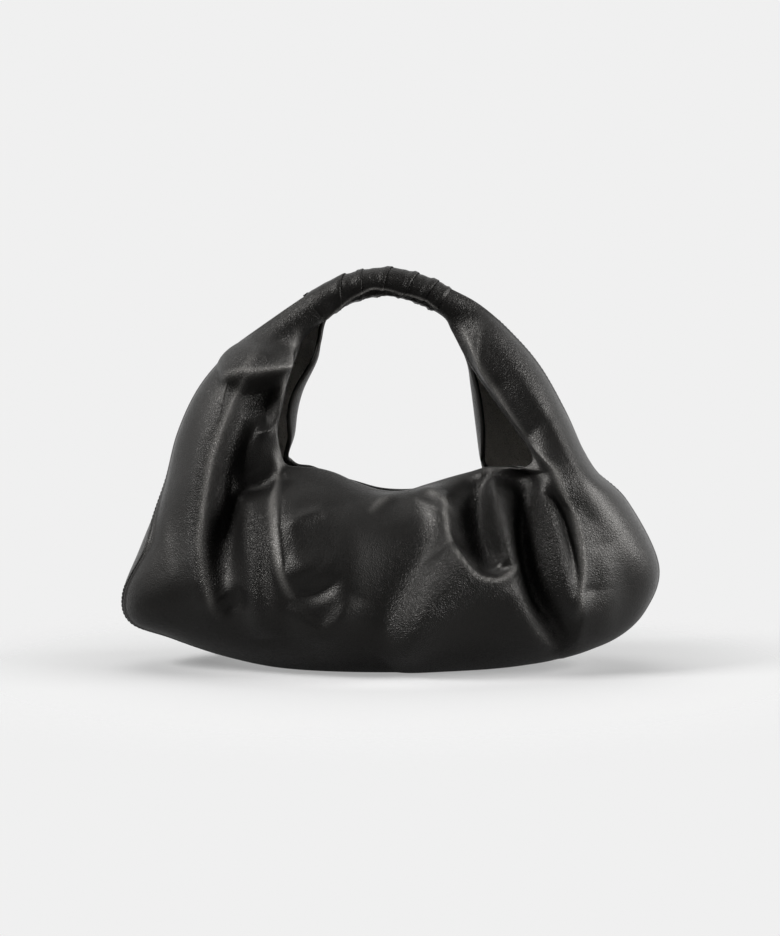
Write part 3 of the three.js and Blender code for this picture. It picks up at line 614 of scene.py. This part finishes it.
def handle_line(share):
    """Points and directions on the middle line of the handle and its radius there, at shares of its
    wound length, and that length."""
    left_end, right_end = -MIDDLE_OF_HANDLE - WRAP_BEYOND, len(HANDLE_TOPS) - 1 - MIDDLE_OF_HANDLE
    place = np.linspace(left_end, right_end, HANDLE_SAMPLES)
    x = (along_loop("outer_x", place) + along_loop("front_x", place)) / 2
    z = (along_loop("outer_z", place) + along_loop("front_z", place)) / 2
    run = np.concatenate([[0], np.cumsum(np.hypot(np.diff(x), np.diff(z)))])
    at = np.clip(share, 0, 1) * run[-1]
    point = np.stack([np.interp(at, run, x), np.zeros_like(at), np.interp(at, run, z)], -1)
    dx, dz = (np.interp(at, run, np.gradient(values, run)) for values in (x, z))
    radius = np.interp(at, run, along_loop("front_depth", place))
    return point, np.stack([dx, np.zeros_like(at), dz], -1), radius, run[-1]


def wrap_relief(share, angle):
    """Low relief on the wound leather: a crisp ridge along its lower front with a groove under it,
    where the strip's long edge is drawn tight, ribs across the underside, and soft wrinkles. Gives the
    relief, and where a highlight is painted along the ridge."""
    turned = np.mod(angle, 2 * math.pi)
    gap = turned - np.radians(np.interp(share, RIDGE_SHARES, RIDGE_ANGLES))
    crest = np.exp(-(gap / RIDGE_WIDTH) ** 2)
    groove = GROOVE_SHARE * np.exp(-((gap - GROOVE_BELOW) / GROOVE_WIDTH) ** 2)
    ridge = WRAP_RIDGE * (crest - groove)
    under = smoothstep(*RIBS_BEGIN, gap) * smoothstep(0, RIBS_FADE, RIBS_END - turned)
    ribs = WRAP_RIB * np.sin(share * math.tau * WRAP_RIBS) * under
    wander = WRINKLE_WANDER * np.sin(turned)
    wrinkles = WRAP_WRINKLE * np.sin(share * math.tau * WRAP_WRINKLES + wander)
    return ridge + ribs + wrinkles, crest


def wound_strip():
    """The strip carried along a helix round the handle: its section is a thin flat band whose right
    part climbs over the turn before it, and whose edges are rounded. It is drawn thinner under the
    handle and its right end is tucked into the arm."""
    length = handle_line(np.zeros(1))[-1]
    last = len(WRAP_EDGES) - 1
    turn = (np.arange(-WRAP_STEPS, last * WRAP_STEPS + 1) / WRAP_STEPS)[:, None]
    left = np.interp(turn + 1, np.arange(last + 1), WRAP_EDGES) * length
    covered = np.interp(turn, np.arange(last + 1), WRAP_EDGES) * length
    right = covered + WRAP_OVERLAP
    run = left + (right - left) * smoothstep(0, 1, np.linspace(0, 1, WRAP_ACROSS))[None, :]
    lifted = covered - 2 * WRAP_CLEARANCE
    angle = turn * math.tau
    thickness = WRAP_THICKNESS * (1 - (1 - WRAP_UNDERSIDE) * (1 - np.cos(angle)) / 2)
    step = (thickness + WRAP_CLEARANCE) * smoothstep(-WRAP_FIRST_STEP, 0, turn)
    rise = step * smoothstep(lifted - WRAP_RAMP, lifted, run)
    edge = np.clip(np.minimum(run - left, right - run) / (WRAP_EDGE_WIDTH * thickness), 0, 1)
    round_off = WRAP_EDGE_DEPTH * thickness * (1 - np.sqrt(edge * (2 - edge)))
    centre, tangent, radius, _ = handle_line(run / length)
    sink = (WRAP_SINK * smoothstep(*WRAP_SINK_SHARES, run / length)
            + WRAP_SINK_LEFT * smoothstep(*WRAP_SINK_LEFT_SHARES, run / length))
    base = radius + WRAP_CLEARANCE + rise - sink
    relief, crest = wrap_relief(run / length, angle)
    top = base + thickness - round_off + relief
    low = base + round_off
    reach = np.concatenate([top, low[:, ::-1]], 1)[..., None]
    centre, tangent = (np.concatenate([values, values[:, ::-1]], 1) for values in (centre, tangent))
    up = np.stack([-tangent[..., 2], tangent[..., 1], tangent[..., 0]], -1)
    around = up * np.cos(angle)[..., None] + np.array([0, -1, 0]) * np.sin(angle)[..., None]
    points = centre + around * reach
    points[..., 1] += SEAM_PLANE
    return points, np.concatenate([crest, np.zeros_like(crest)], 1)


def tube_faces(rows, points):
    """Faces of a tube of rings from first to last, and a strip of faces over each of its two ends."""
    row, point = np.arange(rows - 1)[:, None] * points, np.arange(points)[None, :]
    beside = (point + 1) % points
    side = np.stack([row + point, row + beside, row + points + beside, row + points + point], -1)
    item = np.arange(points // 2 - 1)
    cap = np.stack([item, points - 1 - item, points - 2 - item, item + 1], -1)
    return np.vstack([side.reshape(-1, 4), cap[:, ::-1], cap + (rows - 1) * points])


def wound_handle():
    """The wrap as a piece that stands for its CAD solid."""
    points, crest = wound_strip()
    piece = closed_piece("handle_strip", points.reshape(-1, 3), tube_faces(*points.shape[:2]),
                         [wrap_leather()])
    # The crest attribute marks where a highlight is painted along the ridge
    give_values(piece, "crest", crest)
    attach(piece, "root")
    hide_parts("handle_wrap")


def stitch_line():
    """Points and outward directions on the back panel at the stitches' distance from the seam, at
    every stitch round the loop, apart from the wound handle."""
    place, outside, _, _ = outer_leather(BACK, BACK_FOLDS, BACK_ACROSS)
    normals = outward(outside, BACK)
    gap = np.abs(distance_from_end(outside) - STITCH_FROM_SEAM)
    ring, column = np.arange(len(place)), gap.argmin(1)
    points, normals = outside[ring, column], normals[ring, column]
    free = (place > STITCH_PLACES[0]) & (place < STITCH_PLACES[1])
    points, normals = points[free], normals[free]
    run = np.concatenate([[0], np.cumsum(np.linalg.norm(np.diff(points, axis=0), axis=1))])
    at = np.arange(STITCH_PITCH, run[-1] - STITCH_PITCH, STITCH_PITCH)

    def pick(values, where):
        """Points or directions at distances along the line."""
        return np.stack([np.interp(where, run, values[:, axis]) for axis in range(3)], -1)

    ahead = pick(points, at + STITCH_PITCH / 2) - pick(points, at - STITCH_PITCH / 2)
    return pick(points, at), pick(normals, at), ahead / np.linalg.norm(ahead, axis=1, keepdims=True)


def seam_stitches():
    """Every stitch as one short rounded bar, sunk at both ends: a ring of points round its length,
    whose radius and height follow half an ellipse. Under the bag they are pressed up by the ground."""
    centre, normal, ahead = stitch_line()
    side = np.cross(normal, ahead)
    side /= np.linalg.norm(side, axis=1, keepdims=True)
    along = np.linspace(-1, 1, STITCH_RINGS)[:, None]
    turn = (np.arange(STITCH_SIDES) / STITCH_SIDES * math.tau)[None, :]
    swell = np.sqrt(STITCH_FULLNESS - along ** 2)
    length = np.broadcast_to(along * STITCH_LENGTH / 2, (STITCH_RINGS, STITCH_SIDES))
    across = swell * np.cos(turn) * STITCH_RADIUS
    height = swell * (np.sin(turn) + STITCH_RISE) * STITCH_RADIUS
    shape = np.stack([length, across, height], -1).reshape(-1, 3)
    frames = np.stack([ahead, side, normal], 1)
    every = centre[:, None] + np.einsum("pa,sax->spx", shape, frames)
    every[..., 2] -= np.minimum(every[..., 2].min(1), 0)[:, None]
    vertices = every.reshape(-1, 3)
    vertices[:, 1] += SEAM_PLANE
    faces = tube_faces(STITCH_RINGS, STITCH_SIDES)
    count = len(shape)
    faces = (faces[None] + (np.arange(len(centre)) * count)[:, None, None]).reshape(-1, 4)
    piece = closed_piece("seam_stitches", vertices, faces, [waxed_thread()])
    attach(piece, "root")


def new_group(name, inputs, outputs):
    """An empty shader node group with named inputs and outputs of the given kinds."""
    group = bpy.data.node_groups.new(name, "ShaderNodeTree")
    for labels, way in ((inputs, "INPUT"), (outputs, "OUTPUT")):
        for label, kind in labels.items():
            group.interface.new_socket(label, in_out=way, socket_type="NodeSocket" + kind)
    return group, group.nodes.new("NodeGroupInput").outputs, group.nodes.new("NodeGroupOutput")


def feed(tree, node, **values):
    """Gives a node's sockets their values, by name or by number; a value that is a socket is linked."""
    for name, value in values.items():
        socket = node.inputs[int(name[1:]) if name[1:].isdigit() else name.replace("_", " ")]
        if isinstance(value, bpy.types.NodeSocket):
            tree.links.new(value, socket)
        else:
            socket.default_value = value


def add_node(tree, kind, settings, **values):
    """A new shader node with its settings and the values of its sockets."""
    node = tree.nodes.new("ShaderNode" + kind)
    for name, value in settings.items():
        setattr(node, name, value)
    feed(tree, node, **values)
    return node


def arithmetic(tree, operation, *terms, kind="Math", result=0):
    """The result of one Math or Vector Math node."""
    values = {f"i{index}": term for index, term in enumerate(terms)}
    return add_node(tree, kind, {"operation": operation}, **values).outputs[result]


def ramp(tree, value, low, high, to_low=0.0, to_high=1.0):
    """A value carried from one range to another by a soft step."""
    return add_node(tree, "MapRange", {"interpolation_type": "SMOOTHSTEP"}, Value=value, From_Min=low,
                    From_Max=high, To_Min=to_low, To_Max=to_high).outputs["Result"]


def noise(tree, vector, scale, detail, roughness, result="Fac"):
    """A noise texture's value or colour."""
    return add_node(tree, "TexNoise", {}, Vector=vector, Scale=scale, Detail=detail,
                    Roughness=roughness).outputs[result]


def cell_edges(tree, vector, scale):
    """How far a place lies from the edge of its cell, among cells of uneven shape."""
    return add_node(tree, "TexVoronoi", {"feature": "DISTANCE_TO_EDGE"}, Vector=vector, Scale=scale,
                    Randomness=1.0).outputs["Distance"]


def mixed_colour(tree, share, first, second):
    """Two colours mixed by a share."""
    return add_node(tree, "Mix", {"data_type": "RGBA"}, i0=share, i6=first, i7=second).outputs[2]


def grey(tone):
    """An opaque colour without a hue."""
    return tone, tone, tone, 1


def pebble_grain_group():
    """Tumbled leather's grain: rounded pebbles of uneven size with fine creases between them, drawn
    by two sizes of cells on a slightly bent field, under pores and crinkles. It is low where the
    leather is tight."""
    name = "Pebble grain"
    if name in bpy.data.node_groups:
        return bpy.data.node_groups[name]
    group, given, result = new_group(
        name, {"Vector": "Vector", "Cells per metre": "Float", "Slack": "Float"},
        {"Height": "Float", "Crevice": "Float", "Patch": "Float"})
    place, cells = given["Vector"], given["Cells per metre"]
    centred = arithmetic(group, "SUBTRACT", noise(group, place, *BEND, result="Color"), NOISE_MIDDLE,
                         kind="VectorMath")
    small = add_node(group, "VectorMath", {"operation": "SCALE"}, i0=centred,
                     Scale=BEND_REACH).outputs[0]
    bent = arithmetic(group, "ADD", place, small, kind="VectorMath")
    patch = noise(group, place, *PATCHES)
    edges = cell_edges(group, bent, cells)
    small_edges = cell_edges(group, bent, arithmetic(group, "MULTIPLY", cells, SMALL_PEBBLES))
    large = arithmetic(group, "MULTIPLY", ramp(group, edges, 0.0, PEBBLE_EDGE),
                       ramp(group, patch, *PATCH_HEIGHTS))
    fine = arithmetic(group, "MULTIPLY", ramp(group, small_edges, 0.0, SMALL_PEBBLE_EDGE),
                      SMALL_PEBBLE_HEIGHT)
    pores = arithmetic(group, "MULTIPLY", noise(group, place, *PORES), PORE_HEIGHT)
    crinkles = arithmetic(group, "MULTIPLY", noise(group, place, *CRINKLES), CRINKLE_HEIGHT)
    height = arithmetic(group, "ADD", arithmetic(group, "ADD", large, fine),
                        arithmetic(group, "ADD", pores, crinkles))
    raised = arithmetic(group, "MULTIPLY_ADD", given["Slack"], 1 - TIGHT_GRAIN, TIGHT_GRAIN)
    feed(group, result, Height=arithmetic(group, "MULTIPLY", height, raised), Patch=patch,
         Crevice=ramp(group, edges, 0.0, CREVICE_EDGE, 1.0, 0.0))
    return group


def leather_wear_and_light_group():
    """The look of worn leather, with painted light: worn places are a little paler and smoother, in soft
    patches, a highlight is painted pale on the crisp crests of folds, which are smoother too, and shade is
    painted dark into the grain's creases, which are duller."""
    name = "Handled leather"
    if name in bpy.data.node_groups:
        return bpy.data.node_groups[name]
    group, given, result = new_group(
        name, {"Colour": "Color", "Worn colour": "Color", "Crest colour": "Color", "Crest": "Float",
               "Crevice": "Float", "Patch": "Float", "Roughness": "Float"},
        {"Colour": "Color", "Roughness": "Float"})
    crest, crevice = given["Crest"], given["Crevice"]
    patches = ramp(group, given["Patch"], *WORN_PATCHES)
    worn = add_node(group, "Math", {"operation": "ADD", "use_clamp": True}, i0=patches,
                    i1=crest).outputs[0]
    colour = mixed_colour(group, patches, given["Colour"], given["Worn colour"])
    # A highlight painted pale on the crests
    colour = mixed_colour(group, crest, colour, given["Crest colour"])
    # Shade painted dark into the grain's creases
    dark = arithmetic(group, "MULTIPLY", crevice, CREVICE_SHADE_SHARE)
    smoother = arithmetic(group, "MULTIPLY_ADD", worn, -WORN_SMOOTHER, given["Roughness"])
    feed(group, result, Colour=mixed_colour(group, dark, colour, grey(CREVICE_SHADE_TONE)),
         Roughness=arithmetic(group, "MULTIPLY_ADD", crevice, CREVICE_ROUGHER, smoother))
    return group


def new_material(name):
    """A material whose Principled shader is ready to take its values, and the piece's own places."""
    material = bpy.data.materials.new(name)
    material.use_nodes = True
    tree = material.node_tree
    place = add_node(tree, "TexCoord", {}).outputs["Object"]
    return material, tree, tree.nodes["Principled BSDF"], place


def grained_material(name, colour, worn_colour, finish, crest, slack=1.0):
    """A leather with the shared grain, wear and painted light, in one of the finishes. Crest, which marks
    the painted highlight, and slack are each one value or the name of the piece's own attribute."""
    if name in bpy.data.materials:
        return bpy.data.materials[name]
    settings = bpy.context.scene.bag
    roughness, specular, finer, deeper = finish
    material, tree, shader, place = new_material(name)
    crest, slack = (value if isinstance(value, float) else
                    add_node(tree, "Attribute", {"attribute_name": value}).outputs["Fac"]
                    for value in (crest, slack))
    grain = add_node(tree, "Group", {"node_tree": pebble_grain_group()}, Vector=place,
                     Cells_per_metre=settings.grain_cells * finer, Slack=slack).outputs
    wear_and_light = add_node(tree, "Group", {"node_tree": leather_wear_and_light_group()}, Colour=(*colour, 1),
                       Worn_colour=(*worn_colour, 1), Crest_colour=CREST_HIGHLIGHT_COLOUR, Crest=crest,
                       Crevice=grain["Crevice"], Patch=grain["Patch"], Roughness=roughness).outputs
    bump = add_node(tree, "Bump", {}, Strength=1.0, Distance=settings.grain_depth * deeper,
                    Height=grain["Height"])
    feed(tree, shader, Base_Color=wear_and_light["Colour"], Roughness=wear_and_light["Roughness"],
         Normal=bump.outputs["Normal"], Specular_IOR_Level=specular, Specular_Tint=SPECULAR_TINT)
    return material


def pebbled_leather():
    """The panels' outside: black, softly shining tumbled leather, with a highlight painted pale on crisp
    crests.
    """
    settings = bpy.context.scene.bag
    return grained_material("black_pebbled_hide", settings.leather_colour, settings.worn_colour,
                            PANEL_FINISH, "crest", "slack")


def wrap_leather():
    """The wound strip: the same hide, pulled smoother and polished by hands, with a highlight painted pale
    along its ridge.
    """
    settings = bpy.context.scene.bag
    return grained_material("polished_strip_hide", settings.leather_colour, settings.worn_colour,
                            STRIP_FINISH, "crest")


def flesh_side():
    """The panels' inside: dull and finely napped. Its colour is paler than the hide's and raised to a pale
    grey, painted light for a face that lies in shade.
    """
    return grained_material("napped_flesh_side", *FLESH_PAINTED_LIGHT_COLOURS, FLESH_FINISH, 0.0)


def waxed_thread():
    """Black thread with a slight twist to it."""
    material, tree, shader, place = new_material("waxed_thread")
    twist = add_node(tree, "TexWave", {"bands_direction": "DIAGONAL"}, Vector=place,
                     Scale=THREAD_TWISTS, Distortion=THREAD_WANDER).outputs["Fac"]
    bump = add_node(tree, "Bump", {}, Strength=THREAD_BUMP, Distance=THREAD_RELIEF, Height=twist)
    feed(tree, shader, Base_Color=mixed_colour(tree, twist, *THREAD_COLOURS),
         Normal=bump.outputs["Normal"], Roughness=THREAD_ROUGHNESS)
    return material


def stand_up(name, data, place, away):
    """A camera or lamp at its place, with its back turned away from what it faces."""
    item = bpy.data.objects.new(name, data)
    item.location = place
    item.rotation_euler = away.to_track_quat("Z", "Y").to_euler()
    bpy.context.scene.collection.objects.link(item)
    return item


def studio_camera():
    """The camera at the photo's angle, with a long lens."""
    data = bpy.data.cameras.new("camera")
    data.sensor_width = SENSOR
    height = FRAME_WIDTH * FRAME_PIXELS[1] / FRAME_PIXELS[0]
    data.lens = SENSOR * CAMERA_DISTANCE / height
    data.shift_x = (FRAME_PIXELS[0] / 2 - AIM_PIXEL[0]) / FRAME_PIXELS[1]
    data.shift_y = (AIM_PIXEL[1] - FRAME_PIXELS[1] / 2) / FRAME_PIXELS[1]
    data.clip_end = CAMERA_SIGHT
    away = Vector((0, -math.cos(CAMERA_RISE), math.sin(CAMERA_RISE)))
    place = Vector((0, SEAM_PLANE, AIM_HEIGHT)) + away * CAMERA_DISTANCE
    bpy.context.scene.camera = stand_up("camera", data, place, away)


def studio_light(name, kind, place, aim, power, size):
    """One soft lamp: a sun whose size is an angle, or a square of light whose size is a length."""
    data = bpy.data.lights.new(name, kind)
    data.energy = power
    if kind == "SUN":
        data.angle = size
    else:
        data.size = size
    stand_up(name, data, place, Vector(place) - Vector(aim)).visible_camera = False


def studio_world(pale):
    """The camera sees one pale tone. The bag is lit by a room that is dark towards the camera and
    paler to the sides and behind."""
    world = bpy.data.worlds.new("studio")
    world.use_nodes = True
    bpy.context.scene.world = world
    tree = world.node_tree
    toward = add_node(tree, "SeparateXYZ", {},
                      Vector=add_node(tree, "TexCoord", {}).outputs["Generated"])
    room = ramp(tree, toward.outputs["Y"], *WORLD_TURN, WORLD_FRONT, WORLD_BEHIND)
    seen_directly = add_node(tree, "LightPath", {}).outputs["Is Camera Ray"]
    strength = arithmetic(tree, "MULTIPLY_ADD", seen_directly,
                          arithmetic(tree, "SUBTRACT", pale, room), room)
    feed(tree, tree.nodes["Background"], Color=grey(1.0), Strength=strength)


def studio_floor(pale):
    """A pale round floor that fades into the backdrop's tone. It throws less light on the bag than the
    camera sees, and it glows most under the bag, painted light that lightens the bag's shadow there."""
    turn = np.arange(FLOOR_SIDES) / FLOOR_SIDES * math.tau
    rim = np.stack([np.cos(turn), np.sin(turn), 0 * turn], -1) * FLOOR_RADIUS
    item = np.arange(FLOOR_SIDES)
    faces = np.stack([item, (item + 1) % FLOOR_SIDES, np.full(FLOOR_SIDES, FLOOR_SIDES)], -1)
    material, tree, shader, place = new_material("pale_floor")
    seen_directly = add_node(tree, "LightPath", {}).outputs["Is Camera Ray"]
    distance = arithmetic(tree, "LENGTH", place, kind="VectorMath", result="Value")
    tone = mixed_colour(tree, noise(tree, place, *FLOOR_CLOUDS), grey(pale), grey(pale * FLOOR_CLOUD_TONE))
    tone = mixed_colour(tree, seen_directly, grey(pale * FLOOR_BOUNCE), tone)
    scaled = arithmetic(tree, "DIVIDE", place, REST_PATCH, kind="VectorMath")
    outwards = arithmetic(tree, "LENGTH", scaled, kind="VectorMath", result="Value")
    # Painted light: the floor glows more under the bag, lightening its shadow
    glow = mixed_colour(tree, ramp(tree, outwards, *REST_FADE, 1.0, 0.0), grey(pale * FLOOR_GLOW),
                        grey(REST_GLOW))
    glow = mixed_colour(tree, seen_directly, grey(pale * FLOOR_BOUNCE * FLOOR_GLOW), glow)
    feed(tree, shader, Alpha=ramp(tree, distance, *FLOOR_FADE, 1.0, 0.0), Base_Color=tone,
         Emission_Color=glow, Emission_Strength=1.0, Roughness=1.0, Specular_IOR_Level=0.0)
    floor = new_piece("floor", np.vstack([rim, np.zeros(3)]), faces, [material])


class BagSettings(PropertyGroup):
    """What a user would change on the bag."""
    leather_colour: FloatVectorProperty(name="Leather", description="Colour of the leather",
                                        subtype="COLOR", default=(0.006, 0.0057, 0.0054))
    worn_colour: FloatVectorProperty(name="Worn leather", description="Colour where hands have worn it",
                                     subtype="COLOR", default=(0.011, 0.0105, 0.01))
    grain_cells: FloatProperty(name="Pebbles per metre", description="How fine the grain is",
                               default=520.0, min=100.0, max=2000.0)
    grain_depth: FloatProperty(name="Grain depth", description="Height of the grain's pebbles",
                               default=0.36 * MM, min=0.0, max=MM, unit="LENGTH", precision=5)


class StudioSettings(PropertyGroup):
    """What a user would change in the studio."""
    floor_tone: FloatProperty(name="Floor tone", description="How pale the floor is", default=0.455,
                              min=0.0, max=1.0, subtype="FACTOR")
    backdrop_tone: FloatProperty(name="Backdrop tone", description="What the camera sees behind the bag",
                                 default=0.871, min=0.0, max=1.0, subtype="FACTOR")
    overhead: FloatProperty(name="Overhead light", description="Strength of the large light above",
                            default=0.6, min=0.0, max=20.0)
    side_light: FloatProperty(name="Side lights", description="Power of each softbox", default=5.0,
                              min=0.0, max=100.0, unit="POWER")


class BAG_OT_stage(Operator):
    """Sets up the camera, the lights, the backdrop and the floor"""
    bl_idname = "bag.stage"
    bl_label = "Set up the studio"

    def execute(self, context):
        """Makes the camera first, then the lights, the world and the floor."""
        studio = context.scene.studio
        context.scene.view_settings.view_transform = "Standard"
        studio_camera()
        studio_light("overhead", "SUN", OVERHEAD_PLACE, (0, 0, 0), studio.overhead, OVERHEAD_SIZE)
        for name, place, size, share in SOFTBOXES:
            studio_light(name, "AREA", place, (0, 0, AIM_HEIGHT), studio.side_light * share, size)
        studio_world(studio.backdrop_tone)
        studio_floor(studio.floor_tone)
        return {"FINISHED"}


class BAG_OT_panels(Operator):
    """Builds the front and the back leather panel"""
    bl_idname = "bag.panels"
    bl_label = "Build the leather panels"

    def execute(self, context):
        """Makes both panels, which meet at the seam."""
        leather_panel("front_panel", FRONT, FRONT_FOLDS, FRONT_ACROSS)
        leather_panel("back_panel", BACK, BACK_FOLDS, BACK_ACROSS)
        return {"FINISHED"}


class BAG_OT_wrap(Operator):
    """Winds the strip round the handle"""
    bl_idname = "bag.wrap"
    bl_label = "Wind the handle"

    def execute(self, context):
        """Makes the wound strip."""
        wound_handle()
        return {"FINISHED"}


class BAG_OT_stitches(Operator):
    """Sews the stitches beside the seam"""
    bl_idname = "bag.stitches"
    bl_label = "Sew the seam"

    def execute(self, context):
        """Makes all the stitches as one piece."""
        seam_stitches()
        return {"FINISHED"}


class BAG_PT_sidebar(Panel):
    """Lists the settings and the steps that build the bag"""
    bl_label = "Leather shoulder bag"
    bl_space_type = "VIEW_3D"
    bl_region_type = "UI"
    bl_category = "Bag"

    def draw(self, context):
        """Draws every setting, then a button for each step."""
        for settings in (context.scene.bag, context.scene.studio):
            for name in settings.__annotations__:
                self.layout.prop(settings, name)
        for operator in OPERATORS:
            self.layout.operator(operator.bl_idname)


OPERATORS = (BAG_OT_stage, BAG_OT_panels, BAG_OT_wrap, BAG_OT_stitches)
CLASSES = (BagSettings, StudioSettings, *OPERATORS, BAG_PT_sidebar)


def register():
    """Makes the classes known to Blender and gives the scene its settings."""
    for item in CLASSES:
        bpy.utils.register_class(item)
    bpy.types.Scene.bag = PointerProperty(type=BagSettings)
    bpy.types.Scene.studio = PointerProperty(type=StudioSettings)


def unregister():
    """Takes the settings and the classes away again."""
    del bpy.types.Scene.studio
    del bpy.types.Scene.bag
    for item in reversed(CLASSES):
        bpy.utils.unregister_class(item)


def main():
    """Builds the stage and the bag."""
    register()
    bpy.ops.bag.stage()
    bpy.ops.bag.panels()
    bpy.ops.bag.wrap()
    bpy.ops.bag.stitches()


if __name__ == "__main__":
    main()
